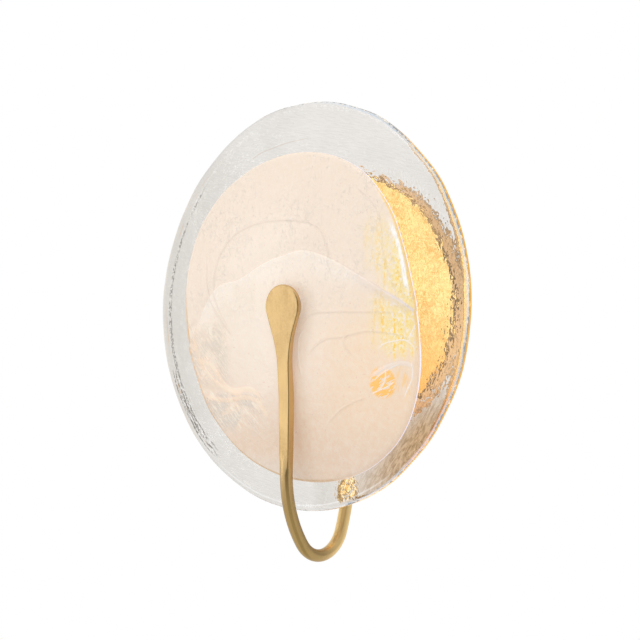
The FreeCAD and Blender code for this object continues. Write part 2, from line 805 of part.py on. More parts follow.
def make_lamp_pins():
    """Two flat loops under the lamp's base."""
    pins = []
    low_z = lamp_base_bottom_z - pin_length
    half = pin_loop_width / 2
    for x in (-pin_spacing / 2, pin_spacing / 2):
        loop = block(
            x - half, x + half, holder_out - pin_wire / 2, holder_out + pin_wire / 2, low_z, lamp_base_bottom_z)
        loop = soften(loop, pin_foot_round, lambda px, out, z: near(abs(px - x), half) and near(z, low_z))
        window = block(
            x - half + pin_wire, x + half - pin_wire, holder_out - pin_wire, holder_out + pin_wire,
            low_z + pin_wire, lamp_base_bottom_z)
        pins.append(loop.cut(window))
    return pins


def lamp_cover_blank(wall):
    """The cover's outer form, or with a wall its hollow."""
    radius = lamp_diameter / 2 - wall
    height = lamp_cover_height - wall
    blank = Part.makeCylinder(radius, height, at(0, holder_out, lamp_cover_bottom_z), Vector(0, 0, 1))
    top = edges_at(blank, lambda x, out, z: near(z, lamp_cover_bottom_z + height))
    return blank.makeChamfer(lamp_cover_bevel - wall / 2, top)


def make_lamp_cover():
    return lamp_cover_blank(0.0).cut(lamp_cover_blank(lamp_cover_wall))


def make_lamp_core():
    return Part.makeCylinder(
        lamp_core_diameter / 2, lamp_core_height, at(0, holder_out, lamp_cover_bottom_z), Vector(0, 0, 1))


def make_lead(side):
    """A lead from the holder down, back through the bush and across to the terminal block."""
    start_out = holder_out - side * lead_spacing / 2
    level = lead_mean_z + side * lead_spacing / 2
    turn_radius = lead_turn_radius + (1 - side) * lead_spacing / 2
    path = rounded_path([
        at(0, start_out, bracket_shelf_z),
        at(0, start_out, level),
        at(0, lead_block_out, level),
        at(block_left_x + lead_grip, lead_block_out, level),
    ], [turn_radius, lead_side_radius])
    return tube(path, lead_diameter / 2, lead_flat_count)


def make_lead_bush():
    flange = lead_bush_flange_diameter / 2
    thickness = lead_bush_flange_thickness
    bush = peg(flange, canopy_depth, canopy_depth + thickness, z=lead_mean_z)
    bush = bush.fuse(peg(lead_bush_neck / 2, canopy_face_inner_out, canopy_depth, z=lead_mean_z))
    bush = bush.fuse(peg(flange, canopy_face_inner_out - thickness, canopy_face_inner_out, z=lead_mean_z))
    bore = peg(lead_bush_bore / 2, 0, canopy_depth + 2 * thickness, z=lead_mean_z)
    return bush.cut(bore).removeSplitter()


def block_levels():
    return [lead_mean_z + lead_spacing / 2, lead_mean_z - lead_spacing / 2]


def block_stud_z():
    return lead_mean_z + block_height / 2 + block_ear_height / 2


def make_terminal_block():
    right_x = block_left_x + block_width
    far = canopy_face_inner_out
    low_z = lead_mean_z - block_height / 2
    high_z = lead_mean_z + block_height / 2
    body = block(block_left_x, right_x, far - block_tall, far, low_z, high_z)
    ear = block(
        block_left_x, right_x, far - block_ear_thickness, far, high_z, high_z + block_ear_height)
    body = body.fuse(ear).removeSplitter()
    for level in block_levels():
        start = at(block_left_x, lead_block_out, level)
        hole = Part.makeCylinder(block_wire_hole / 2, block_width, start, Vector(1, 0, 0))
        body = body.cut(hole)
        for x in terminal_screw_places():
            body = body.cut(peg(block_screw_diameter / 2, 0, terminal_screw_tip(), x, level))
    return body.cut(peg(block_stud_diameter / 2, 0, far, block_left_x + block_width / 2, block_stud_z()))


def terminal_screw_places():
    return [block_left_x + block_width / 4, block_left_x + 3 * block_width / 4]


def terminal_screw_tip():
    """How far out a clamping screw reaches: on to the lead's side."""
    return lead_block_out - lead_diameter / 2


def make_terminal_screws():
    screws = []
    top_out = canopy_face_inner_out - block_tall
    for level in block_levels():
        for x in terminal_screw_places():
            base = at(x, terminal_screw_tip(), level)
            length = terminal_screw_tip() - top_out - driver_slot_depth / 2
            screws.append(cheese_head(
                block_screw_diameter / 2 - thread_clearance, length, base, Vector(0, 1, 0)))
    return screws


def make_block_stud():
    x = block_left_x + block_width / 2
    back = canopy_face_inner_out - block_ear_thickness - block_nut_thickness - screw_tip_past_nut
    return peg(block_stud_diameter / 2, back, canopy_face_inner_out, x, block_stud_z())


def make_block_nut():
    x = block_left_x + block_width / 2
    far = canopy_face_inner_out - block_ear_thickness
    nut = hexagon(block_nut_width, far - block_nut_thickness, far, x, block_stud_z())
    return nut.cut(peg(block_stud_diameter / 2, 0, canopy_depth, x, block_stud_z()))


def stack_ring(diameter, inner_radius, out_near, out_far):
    return ring(diameter / 2, inner_radius, out_near, out_far, z=stack_z)


def make_parts():
    stud_radius = stud_diameter / 2
    washer_bore = bush_outer_radius
    return {
        "wall_strap": make_wall_strap(),
        "earth_screw": make_earth_screw(),
        "canopy": make_canopy(),
        "canopy_screw_top": make_canopy_screw(1),
        "canopy_screw_bottom": make_canopy_screw(-1),
        "arm": make_arm(),
        "arm_screws": make_arm_screws(),
        "stud": peg(stud_radius, stud_back_out, head_back_out + stud_grip, z=stack_z),
        "front_collar": stack_ring(collar_diameter, stud_radius, collar_back_out, head_back_out),
        "front_washer": stack_ring(
            front_washer_diameter, stud_radius, frosted_front_out, collar_back_out),
        "glass_bush": stack_ring(
            2 * bush_outer_radius, bush_inner_radius, clear_back_out, frosted_front_out),
        "frosted_glass": make_frosted_glass(),
        "spacer_washers": [
            stack_ring(spacer_washer_diameter, washer_bore, spacer_front_out, frosted_back_out),
            stack_ring(spacer_washer_diameter, washer_bore, clear_front_out, spacer_back_out),
        ],
        "glass_spacer": stack_ring(spacer_diameter, washer_bore, spacer_back_out, spacer_front_out),
        "clear_glass": make_clear_glass(),
        "rear_washer": stack_ring(rear_washer_diameter, stud_radius, cup_front_out, clear_back_out),
        "cup_washer": stack_ring(cup_washer_diameter, stud_radius, nut_front_out, cup_front_out),
        "knurled_nut": make_knurled_nut(),
        "holder_bracket": make_holder_bracket(),
        "bracket_screws": make_bracket_screws(),
        "bracket_nuts": make_bracket_nuts(),
        "lamp_holder": make_lamp_holder(),
        "holder_contacts": make_holder_contacts(),
        "holder_screws": make_holder_screws(),
        "lamp_base": make_lamp_base(),
        "lamp_pins": make_lamp_pins(),
        "lamp_cover": make_lamp_cover(),
        "lamp_core": make_lamp_core(),
        "lead_bush": make_lead_bush(),
        "live_lead": make_lead(1),
        "neutral_lead": make_lead(-1),
        "terminal_block": make_terminal_block(),
        "terminal_screws": make_terminal_screws(),
        "block_stud": make_block_stud(),
        "block_nut": make_block_nut(),
    }


def main():
    os.makedirs("parts", exist_ok=True)
    for node, made in make_parts().items():
        shape = Part.makeCompound(made) if isinstance(made, list) else made
        shape.exportStep("parts/" + node + ".step")
        print(node, len(shape.Solids), round(shape.Volume, 1), shape.isValid())


main()
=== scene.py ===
"""Looks of the wall sconce: two cast-glass discs, a satin gold canopy and a forged brass arm.

Lengths in the shaping functions are millimetres. A distance out from the wall is called out.
"""

import bisect
import math

import bmesh
import bpy
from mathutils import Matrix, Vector, noise


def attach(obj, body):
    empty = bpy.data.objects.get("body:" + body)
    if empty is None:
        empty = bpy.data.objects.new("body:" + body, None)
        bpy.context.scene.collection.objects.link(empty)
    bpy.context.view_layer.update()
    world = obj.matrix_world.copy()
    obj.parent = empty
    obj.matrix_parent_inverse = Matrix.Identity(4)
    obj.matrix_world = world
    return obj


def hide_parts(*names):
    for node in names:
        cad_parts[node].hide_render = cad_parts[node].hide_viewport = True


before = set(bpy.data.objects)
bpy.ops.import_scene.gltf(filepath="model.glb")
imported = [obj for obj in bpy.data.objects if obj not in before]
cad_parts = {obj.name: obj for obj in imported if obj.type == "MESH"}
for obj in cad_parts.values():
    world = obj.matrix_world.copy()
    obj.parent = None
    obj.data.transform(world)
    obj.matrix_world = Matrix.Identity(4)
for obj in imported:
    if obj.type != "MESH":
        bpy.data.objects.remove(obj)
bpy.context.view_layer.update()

# Sizes shared with the construction. A lobe is its waves round the rim, its height and its turn.
stack_z = -3.2
glass_hole_radius = 5.8
frosted_radius = 120.0
frosted_centre_z = -11.7
frosted_thickness = 6.0
frosted_front_out = 89.0
frosted_ball_radius = 927.0
frosted_lobes = [(2, 5.6, -133.0), (3, 2.5, -161.0), (4, 2.2, -140.0)]
fold_rise = 1.5
fold_crest = [
    (-135.0, -84.0),
    (-118.0, -48.0),
    (-103.0, -21.0),
    (-88.0, 2.0),
    (-75.0, 13.0),
    (-53.0, 18.0),
    (-28.0, 29.5),
    (-10.0, 34.5),
    (11.0, 38.5),
    (35.0, 33.0),
    (61.0, 21.5),
    (83.0, 10.0),
    (100.0, 1.5),
    (113.0, -7.0),
    (135.0, -21.0),
]
clear_radius = 152.4
clear_lobes = [(0, -0.6, 0.0), (1, 1.4, -155.0), (2, 2.8, 101.0), (3, 0.5, -116.0), (4, 0.4, 30.0)]
clear_thickness = 7.0
clear_front_out = 79.0
clear_ball_radius = 1370.0

# The glasses are ground flat round the stack, and their ripples come in beyond that
seat_radius = 14.0
seat_blend = 20.0
rim_steps = 8
fold_levels = (-9.0, -5.0, -3.0, -1.9, -1.2, -0.6, 0.0, 0.6, 2.0)
glass_ior = 1.46

# How far beside a drawn line its distance is stored, and how the line tapers off
line_reach = 9.0
line_ease = 4.0
end_taper = 7.0
far_from_line = 99.0

no_light = (0.0, 0.0, 0.0)
white = (1.0, 1.0, 1.0)

# Cords of thicker glass in the front disc, then its pale cords and its ribs, across and up
cords = {
    "inner_swirl": [
        (-53, -29), (-68, -14), (-79, 2), (-82, 17), (-77, 34), (-64, 49), (-42, 58), (-19, 61), (8, 60),
        (24, 55), (32, 45), (35, 34), (37, 25), (40, 17), (38, 9)],
    "left_swirl": [(-91, 40), (-91, 23), (-88, 7), (-79, -6), (-67, -19), (-57, -28)],
    "right_arch": [(44, 91), (63, 80), (75, 69), (81, 57), (83, 39), (87, 25), (94, 10), (98, 1)],
    "level_line": [(11, -18), (22, -9), (39, -7), (61, -7), (83, -7), (106, -8)],
    "agate_outer": [
        (14, -43), (22, -34), (34, -27), (50, -25), (70, -21), (89, -22), (104, -25), (114, -33)],
    "agate_inner": [(60, -40), (52, -32), (51, -27), (56, -23)],
    "neck_line": [(15, -18), (9, -25), (7, -34), (8, -46), (11, -58)],
    "low_arc": [(30, -92), (45, -79), (59, -72), (72, -68)],
}
pale_cords = {
    "eye_top": [(81, -34), (86, -30), (94, -28), (103, -27), (109, -30), (113, -35)],
    "eye_right": [(109, -41), (110, -48), (109, -55), (105, -62), (101, -69)],
    "fibre_high": [(99, -44), (92, -47), (84, -51), (77, -56)],
    "fibre_low": [(95, -56), (89, -60), (79, -64), (74, -66)],
    "fibre_cross": [(87, -46), (87, -53), (84, -60), (79, -64)],
    "hook": [(113, -8), (113, -12), (112, -16), (109, -22), (105, -28)],
}
ribs = {
    "eye_band": [(72, -54), (81, -50), (88, -46.5), (96, -44), (104, -43.5), (111, -46)],
    "rib_high": [(-105, -24), (-100, -43), (-85, -58), (-66, -68), (-48, -70)],
    "rib_middle": [(-106, -44), (-95, -46), (-83, -50), (-73, -61), (-62, -67), (-40, -66), (-27, -79)],
    "rib_low": [(-97, -72), (-71, -75), (-48, -72), (-33, -76), (-24, -89)],
}

# A line pulled through the rear disc's glass
clear_lines = {"pulled_line": [(-55, 107), (-43, 113), (-31, 116), (-13, 120), (8, 122)]}


class Value:
    """One output of a finish's nodes. Arithmetic on it adds Math nodes."""

    def __init__(self, finish, socket):
        self.finish = finish
        self.socket = socket

    def math(self, operation, *terms):
        """One Math node over the terms."""
        return self.finish.add("ShaderNodeMath", {"operation": operation}, dict(enumerate(terms)))

    def __add__(self, other):
        return self.math("ADD", self, other)

    def __radd__(self, other):
        return self.math("ADD", other, self)

    def __sub__(self, other):
        return self.math("SUBTRACT", self, other)

    def __rsub__(self, other):
        return self.math("SUBTRACT", other, self)

    def __mul__(self, other):
        return self.math("MULTIPLY", self, other)

    def __rmul__(self, other):
        return self.math("MULTIPLY", other, self)

    def __truediv__(self, other):
        return self.math("DIVIDE", self, other)

    def __pow__(self, other):
        return self.math("POWER", self, other)

    def sine(self):
        return self.math("SINE", self)

    def size(self):
        return self.math("ABSOLUTE", self)

    def least(self, other):
        return self.math("MINIMUM", self, other)

    def most(self, other):
        return self.math("MAXIMUM", self, other)

    def fade(self, low, high, start=0.0, end=1.0):
        """Go smoothly from start at low to end at high, and stay there on both sides."""
        settings = {"interpolation_type": "SMOOTHSTEP"}
        values = {0: self, 1: low, 2: high, 3: start, 4: end}
        if low > high:
            values = {0: self, 1: high, 2: low, 3: end, 4: start}
        return self.finish.add("ShaderNodeMapRange", settings, values)

    def line(self, width):
        """A soft line where the value is near nought."""
        return self.size().fade(0.0, width, 1.0, 0.0)


class Finish:
    """A material, or the world's surroundings, made of nodes."""

    def __init__(self, owner):
        owner.use_nodes = True
        self.owner = owner
        self.tree = owner.node_tree
        self.tree.nodes.clear()

    def add(self, kind, settings=None, values=None, output=0):
        """Add a node: its settings come first, then the values or links of its sockets."""
        node = self.tree.nodes.new(kind)
        for key, setting in (settings or {}).items():
            setattr(node, key, setting)
        for key, value in (values or {}).items():
            if isinstance(value, Value):
                self.tree.links.new(value.socket, node.inputs[key])
            else:
                node.inputs[key].default_value = value
        return Value(self, node.outputs[output]) if len(node.outputs) else node

    def parts(self, vector, scale):
        """A vector's scaled parts: across, out from the wall, and up."""
        across = self.add("ShaderNodeSeparateXYZ", None, {0: vector}, "X") * scale
        out = self.add("ShaderNodeSeparateXYZ", None, {0: vector}, "Y") * -scale
        up = self.add("ShaderNodeSeparateXYZ", None, {0: vector}, "Z") * scale
        return across, out, up

    def place(self):
        """The spot on the object in millimetres."""
        return self.parts(self.add("ShaderNodeTexCoord", output="Object"), 1000.0)

    def facing(self):
        """The way the surface faces."""
        return self.parts(self.add("ShaderNodeTexCoord", output="Normal"), 1.0)

    def stretched(self, sizes, turn=0.0):
        """The spot scaled so that a pattern's grains get the given sizes in millimetres."""
        spot = self.add("ShaderNodeTexCoord", output="Object")
        scale = [1000.0 / size for size in sizes]
        about_out = {"rotation_type": "Y_AXIS"}
        turned = self.add("ShaderNodeVectorRotate", about_out, {"Vector": spot, "Angle": turn})
        return self.add("ShaderNodeVectorMath", {"operation": "MULTIPLY"}, {0: turned, 1: scale})

    def grain(self, sizes, detail=2.0, roughness=0.5, bend=0.0, turn=0.0):
        """Cloudy noise from nought to one with the given grain sizes in millimetres."""
        spot = self.stretched(sizes, turn)
        values = {"Vector": spot, "Scale": 1.0, "Detail": detail, "Roughness": roughness, "Distortion": bend}
        return self.add("ShaderNodeTexNoise", None, values, "Fac")

    def stored(self, name):
        """A number stored on the piece's own points."""
        return self.add("ShaderNodeAttribute", {"attribute_name": name}, None, "Fac")

    def drawn(self, name):
        """How far a drawn line lies to one side, and how much of its strength is left here."""
        return self.stored(name), self.stored(name + "_share")

    def mix(self, share, first, second):
        """A colour between two colours."""
        values = {0: share, 6: self.colour(first), 7: self.colour(second)}
        return self.add("ShaderNodeMix", {"data_type": "RGBA"}, values, 2)

    def paint(self, share, colour):
        """Lay a colour over the tone so far, as much as the share says."""
        self.tone = self.mix(share, self.tone, colour)

    def colour(self, value):
        return value if isinstance(value, Value) else (*value, 1.0)

    def bump(self, height):
        """A normal from a height in millimetres."""
        return self.add("ShaderNodeBump", None, {"Strength": 1.0, "Distance": 0.001, "Height": height})

    def surface(self, **values):
        """The main shader, its sockets named with underscores."""
        named = {}
        for key, value in values.items():
            name = key.replace("_", " ").title().replace("Ior", "IOR")
            if isinstance(value, tuple) and len(value) == 3:
                value = (*value, 1.0)
            named[name] = value
        return self.add("ShaderNodeBsdfPrincipled", None, named)

    def mix_shaders(self, share, first, second):
        """One shader laid over another."""
        return self.add("ShaderNodeMixShader", None, {0: share, 1: first, 2: second})

    def finish_with(self, shader):
        """Send the shader to the output and give back the material."""
        self.add("ShaderNodeOutputMaterial", None, {"Surface": shader})
        return self.owner


def new_finish(name):
    """An empty finish with its own material."""
    return Finish(bpy.data.materials.new(name))


def satin_gold():
    """The canopy's plated gold: fine turned lines, and a painted glow from the lamp on its face, mottled in
    a soft bloom.
    """
    finish = new_finish("satin_gold")
    across, out, up = finish.place()
    radius = (across * across + up * up) ** 0.5
    cloud = finish.grain((30, 30, 30), 4.0, 0.6)
    fine = finish.grain((2.5, 2.5, 2.5), 3.0, 0.7)
    bloom = finish.grain((2.2, 2.2, 3.5), 3.0, 0.7, 0.4)
    turned_lines = (radius * 9.0 + cloud * 3.0).sine()
    face = out.fade(14.0, 15.8)
    tone = (cloud * 0.6 + fine * 0.4).fade(0.3, 0.7)
    colour = finish.mix(tone, (0.70, 0.45, 0.17), (0.84, 0.58, 0.25))
    side = finish.mix(tone, (0.66, 0.42, 0.20), (0.84, 0.55, 0.28))
    colour = finish.mix(face, side, colour)

    # Painted glow from the lamp, given off by the face as emission, more orange below, and faintly on the
    # side
    bloomed = (cloud * 0.1 + bloom * 0.9).fade(0.42, 0.56)
    glow = finish.mix(bloomed, (0.92, 0.58, 0.15), (1.08, 0.91, 0.40))
    glow = finish.mix(up.fade(0.0, -60.0) * 0.8, glow, (1.05, 0.55, 0.10))
    light = finish.mix(face * bloomed.fade(0.0, 1.0, 0.8, 1.0), no_light, glow)
    light = finish.mix((1.0 - face) * out.fade(2.0, 8.0), light, (0.42, 0.26, 0.13))

    # Painted shade: a dark line where the rounded corner turns away from the light
    corner = out.fade(13.4, 14.2) * out.fade(15.9, 15.3) * radius.fade(94.0, 96.0)
    colour = finish.mix(corner * 0.6, colour, (0.26, 0.15, 0.06))
    light = finish.mix(corner, light, no_light)
    height = turned_lines * 0.002 + fine * 0.01
    return finish.finish_with(finish.surface(
        base_color=colour, metallic=1.0, roughness=fine.fade(0.2, 0.8, 0.26, 0.4),
        emission_color=light, emission_strength=1.0, normal=finish.bump(height)))


def aged_brass(name, light, deep, smooth, rough, painted_shading):
    """Hand-finished brass: a cloudy tone, small pits and fine scratches along the rod."""
    finish = new_finish(name)
    cloud = finish.grain((14, 14, 20), 4.0, 0.6)
    pits = finish.grain((1.3, 1.3, 1.5), 3.0, 0.65)
    scratches = finish.grain((0.8, 0.8, 16.0), 2.0, 0.6, 0.2)
    tone = (cloud * 0.35 + pits * 0.4 + scratches * 0.25).fade(0.34, 0.6)
    colour = finish.mix(tone, deep, light)

    # Painted shade along the edges of the blade and rod, the front of the neck lighter, painted shade under
    # the glass and a painted highlight on the rear leg
    sideways, outward, _ = finish.facing()
    _, out, up = finish.place()
    facing_both = (sideways * outward).size()
    halfway = facing_both / (sideways * sideways + outward * outward + 0.01)
    on_rod = up.fade(-92.0, -112.0)
    # Painted shade where the edges turn from the light
    corner = facing_both.fade(0.28, 0.46) * (1.0 - on_rod) + halfway.fade(0.38, 0.47) * on_rod
    corner = corner * out.fade(60.0, 76.0)
    # Lighter colour on the front of the neck
    lighter_front = up.fade(-20.0, -60.0) * up.fade(-104.0, -84.0) * out.fade(70.0, 80.0)
    colour = finish.mix(lighter_front * painted_shading * 0.9, colour, (0.755, 0.525, 0.245))
    colour = finish.mix(corner * painted_shading, colour, (0.22, 0.14, 0.05))
    # Painted shade under the glass
    under_glass = up.fade(-118.0, -155.0) * out.fade(40.0, 66.0)
    colour = finish.mix(under_glass * painted_shading * 0.85, colour, (0.34, 0.23, 0.08))
    # Painted highlight on the rear leg
    colour = finish.mix(out.fade(54.0, 34.0) * painted_shading, colour, (0.94, 0.68, 0.30))
    height = pits * 0.02 + scratches * 0.012 + cloud * 0.02
    return finish.finish_with(finish.surface(
        base_color=colour, metallic=1.0, roughness=tone.fade(0.0, 1.0, rough, smooth),
        normal=finish.bump(height)))


class FrostedGlass(Finish):
    """Milky glass lit from behind, the glow painted on as colour and emission, with cords, small seeds and a
    few places that stayed clear.
    """

    def __init__(self):
        super().__init__(bpy.data.materials.new("frosted_cast_glass"))
        self.across, _, self.up = self.place()
        self.above = self.stored("above_fold")
        self.edge = self.stored("rim")
        self.inside = self.stored("from_front")
        self.right = self.across.fade(0.0, 60.0)
        self.body = self.grain((42, 42, 42), 4.0, 0.55)
        self.fine = self.grain((4, 4, 4), 4.0, 0.65)
        self.mottle = self.grain((1.8, 1.8, 2.6), 3.0, 0.7, 0.3)
        self.streak = self.grain((4, 20, 50), 3.0, 0.6, 0.6)
        self.slant = self.grain((1.4, 9, 11), 3.0, 0.65, 0.6, 0.75)
        self.crust = (self.fine * 0.55 + self.body * 0.2 + self.mottle * 0.25).fade(0.38, 0.64)
        self.relief = self.body * 1.2 + self.fine * 0.36 + self.mottle * 0.1

    def paint_glow(self):
        """A painted glow from the lamp: brightest behind the arm's head, orange to the right and duller
        below.
        """
        across, up = self.across, self.up
        self.tone = self.mix(up.fade(0.0, -125.0), (0.895, 0.75, 0.62), (0.78, 0.60, 0.46))
        self.paint(up.fade(-108.0, -128.0) * across.fade(30.0, -10.0) * 0.6, (0.78, 0.70, 0.61))
        warm_side = across.fade(-5.0, 70.0) * up.fade(20.0, -30.0) * up.fade(-125.0, -70.0)
        self.paint(warm_side * 0.55, (0.96, 0.71, 0.48))
        heart = ((across + 26.0) ** 2.0 + (up * 0.7 + 6.0) ** 2.0) ** 0.5
        self.paint(heart.fade(75.0, 15.0) * 0.6, (0.955, 0.845, 0.735))
        self.paint(self.crust * 0.3, (0.96, 0.85, 0.745))
        veins = (self.grain((5, 5, 7), 3.0, 0.6, 1.2) - 0.5).line(0.03)
        veined = veins * (self.fine * 0.6 + self.body * 0.4).fade(0.45, 0.6) * up.fade(-40.0, 10.0)
        self.paint(veined * 0.35, (1.0, 0.95, 0.88))
        self.relief = self.relief + veined * 0.2

    def paint_grey_corner(self):
        """Greyer glass with slanting streaks at the lower left, the pale streaks a painted highlight."""
        across, up, slant = self.across, self.up, self.slant
        facets = self.grain((20, 20, 20), 1.0, 0.5, 1.0)
        left = across.fade(-58.0, -76.0) * up.fade(-10.0, -24.0) * up.fade(-68.0, -56.0)
        left = left.most(across.fade(-22.0, -40.0) * up.fade(-66.0, -72.0) * up.fade(-104.0, -90.0))
        left = left * self.edge.fade(1.0, 4.0)
        self.grey = left * (facets * 0.65 + slant * 0.35).fade(0.44, 0.50)
        self.paint(self.grey * 0.8, (0.70, 0.67, 0.62))
        # Pale slanting streaks of painted highlight
        self.paint(left * slant.fade(0.50, 0.58) * 0.75, (1.0, 0.90, 0.75))
        self.relief = self.relief + left * (facets * 0.8 + slant * 0.3)

    def paint_golden_side(self):
        """Painted gold where the canopy gleams through the thin right side, and a painted white highlight
        along the edge.
        """
        up, edge, mottle, streak = self.up, self.edge, self.mottle, self.streak
        thin = self.across + (self.body - 0.5) * 70.0 - self.above.line(14.0) * 8.0
        thin = thin.fade(60.0, 104.0) * self.inside.fade(1.0, 0.4)
        thin = thin * (up + (streak - 0.5) * 40.0).fade(-42.0, -26.0) * up.fade(72.0, 40.0)
        self.paint(thin * (mottle * 0.45 + streak * 0.55).fade(0.40, 0.52) * 0.85, (0.97, 0.77, 0.30))
        self.paint(thin * (mottle * 0.4 + streak * 0.6).fade(0.54, 0.62), (1.0, 0.62, 0.10))
        self.paint(thin * mottle.fade(0.47, 0.40) * 0.7, (0.97, 0.93, 0.83))
        # Painted white highlight along the right edge
        edge_highlight = edge.fade(1.4, 2.2) * (edge + streak * 6.0).fade(8.6, 6.6) * up.fade(62.0, 48.0)
        self.paint(edge_highlight * up.fade(2.0, 14.0) * self.right * 0.9, white)

    def draw_cords(self):
        """Raise the cords and give them a fine darker trace, and give the fold's edge a fine line of painted
        shade.
        """
        self.trace = self.above.line(0.8) * 0.7
        for name in cords:
            side, share = self.drawn(name)
            raised = side.line(2.2) * share
            self.relief = self.relief + raised * raised * 0.4
            self.trace = self.trace + side.line(0.8) * share * 0.55

    def paint_eye(self):
        """The orange eye at the right, painted where the lit canopy shows through, with rays across it and a
        fainter painted glow beside it.
        """
        eye_across, eye_up, eye_size = 84.0, -57.5, 12.0
        core_x = (self.across - eye_across) / eye_size
        core_z = (self.up - eye_up) / eye_size
        core = (core_x * core_x + core_z * core_z) ** 0.5 - self.inside.fade(2.0, 4.0) * 0.4
        rays = self.grain((2.3, 20, 9), 2.0, 0.6, 0.7, -1.0)
        self.eye = core.fade(1.05, 0.8) * rays.fade(0.44, 0.50)
        self.paint(self.eye * 0.95, (1.0, 0.52, 0.03))
        beside = ((self.across - 101.0).line(9.0) * (self.up + 57.0).line(18.0)).fade(0.0, 0.7)
        steep = self.grain((1.8, 20, 14), 2.0, 0.6, 0.3, -0.3)
        self.paint(beside * steep.fade(0.46, 0.56) * 0.6, (1.0, 0.60, 0.20))

    def draw_ribs(self):
        """Broad ribs with painted shade along one side, and the thin pale cords over the eye."""
        peach = (0.97, 0.79, 0.62)
        for name, half_width, colour in (
                ("eye_band", 2.8, (0.88, 0.77, 0.69)), ("rib_high", 3.0, peach),
                ("rib_middle", 3.4, peach), ("rib_low", 3.0, peach)):
            side, share = self.drawn(name)
            rib = side.line(half_width) * share
            self.relief = self.relief + rib * 0.4
            self.paint(rib.fade(0.1, 0.6) * 0.7, colour)
            # Painted shade along one side of the rib
            self.paint((side - half_width + 0.9).line(0.8) * share * 0.3, (0.78, 0.62, 0.52))
        for name in pale_cords:
            side, share = self.drawn(name)
            pale = side.line(0.9) * share
            self.relief = self.relief + pale * 0.2
            self.paint(pale * 0.8, (0.96, 0.89, 0.84))

    def paint_poured_sheet(self):
        """The sheet below the fold: dull at the left, with a painted highlight along its edge; painted shade
        just above the fold and, greyer, under the crest at the right end.
        """
        across, up, above, crust = self.across, self.up, self.above, self.crust
        panel = (across + 33.0 + self.body * 4.0 - up.fade(-20.0, -60.0) * 14.0).fade(0.8, -0.8)
        panel = panel * above.fade(0.0, -2.0) * up.fade(-62.0, -40.0)
        self.paint(panel * crust.fade(0.0, 1.0, 0.4, 0.1), (0.84, 0.73, 0.60))
        high = up.fade(8.0, 20.0).most(across.fade(-50.0, -62.0) * up.fade(-34.0, -16.0))
        # Painted highlight along the fold's edge
        poured = above.fade(0.3, -0.5) * above.fade(-26.0, -4.0) * high
        self.paint(poured * crust.fade(0.0, 1.0, 0.35, 0.6), (0.97, 0.89, 0.80))
        # Painted shade just above the fold
        beyond = above.fade(-0.2, 0.5) * above.fade(16.0, 2.0) * across.fade(45.0, 20.0)
        self.paint(beyond * 0.4, (0.82, 0.71, 0.60))
        # Painted shade under the crest at the right end
        band = above.fade(0.4, -0.4) * above.fade(-10.0, 0.0) * up.fade(-9.0, -6.0) * across.fade(30.0, 85.0)
        self.paint(band * 0.45, (0.76, 0.65, 0.60))
        self.paint((above + 0.6).line(1.1) * across.fade(72.0, 100.0) * 0.7, (0.70, 0.66, 0.74))

    def paint_marks(self):
        """The darker traces of the cords with the painted shade along the fold's edge, and seeds trapped in
        the glass.
        """
        self.paint(self.trace.least(1.0) * 0.4, (0.66, 0.56, 0.48))
        seeds = self.grain((1.6, 1.6, 1.6), 0.0).fade(0.80, 0.84)
        self.paint(seeds * 0.5, (0.58, 0.53, 0.47))

    def paint_rim(self):
        """A brown line at the lower left; painted gold light and a painted cool highlight at the right."""
        up, inside, right = self.up, self.inside, self.right
        lowest = up.fade(-58.0, -88.0)
        left_line = (self.edge + lowest * 0.9).fade(3.6, 2.4) * (1.0 - right) * up.fade(14.0, -16.0)
        left_line = left_line * inside.fade(3.0, 1.0) * self.slant.fade(0.3, 0.6, 0.5, 0.95)
        self.paint(left_line, self.mix(lowest, (0.80, 0.46, 0.17), (0.62, 0.38, 0.16)))
        gold_rim_light = inside.fade(0.5, 1.0) * inside.fade(3.0, 2.4) * right
        gold_rim_light = gold_rim_light * up.fade(-36.0, -24.0) * up.fade(84.0, 72.0)
        self.paint(gold_rim_light * 0.8, (1.0, 0.66, 0.20))
        self.cool_highlight = inside.fade(2.3, 2.9) * right
        self.paint(self.cool_highlight * 0.9, (0.84, 0.82, 0.93))

    def finished(self):
        """Milky glass that gives off its painted colour as a faint glow, with a little clear glass let into
        the grey corner and the eye.
        """
        # Painted glow: the tone given off as emission, brighter on the cool highlight
        glow = self.mix(self.cool_highlight, self.tone, (1.5, 1.45, 1.8))
        normal = self.bump(self.relief)
        milk = self.surface(
            base_color=self.tone, roughness=0.2, specular_ior_level=0.5,
            emission_color=glow, emission_strength=0.3, normal=normal)
        clear = self.surface(
            base_color=(0.86, 0.83, 0.79), roughness=0.04, transmission_weight=1.0, ior=glass_ior,
            normal=normal)
        window = (self.grey * 0.35).most(self.eye * 0.15)
        return self.finish_with(self.mix_shaders(window, milk, clear))


def frosted_finish():
    """The front disc's finish, painted in layers."""
    glass = FrostedGlass()
    glass.paint_glow()
    glass.paint_grey_corner()
    glass.paint_golden_side()
    glass.draw_cords()
    glass.paint_eye()
    glass.draw_ribs()
    glass.paint_poured_sheet()
    glass.paint_marks()
    glass.paint_rim()
    return glass.finished()


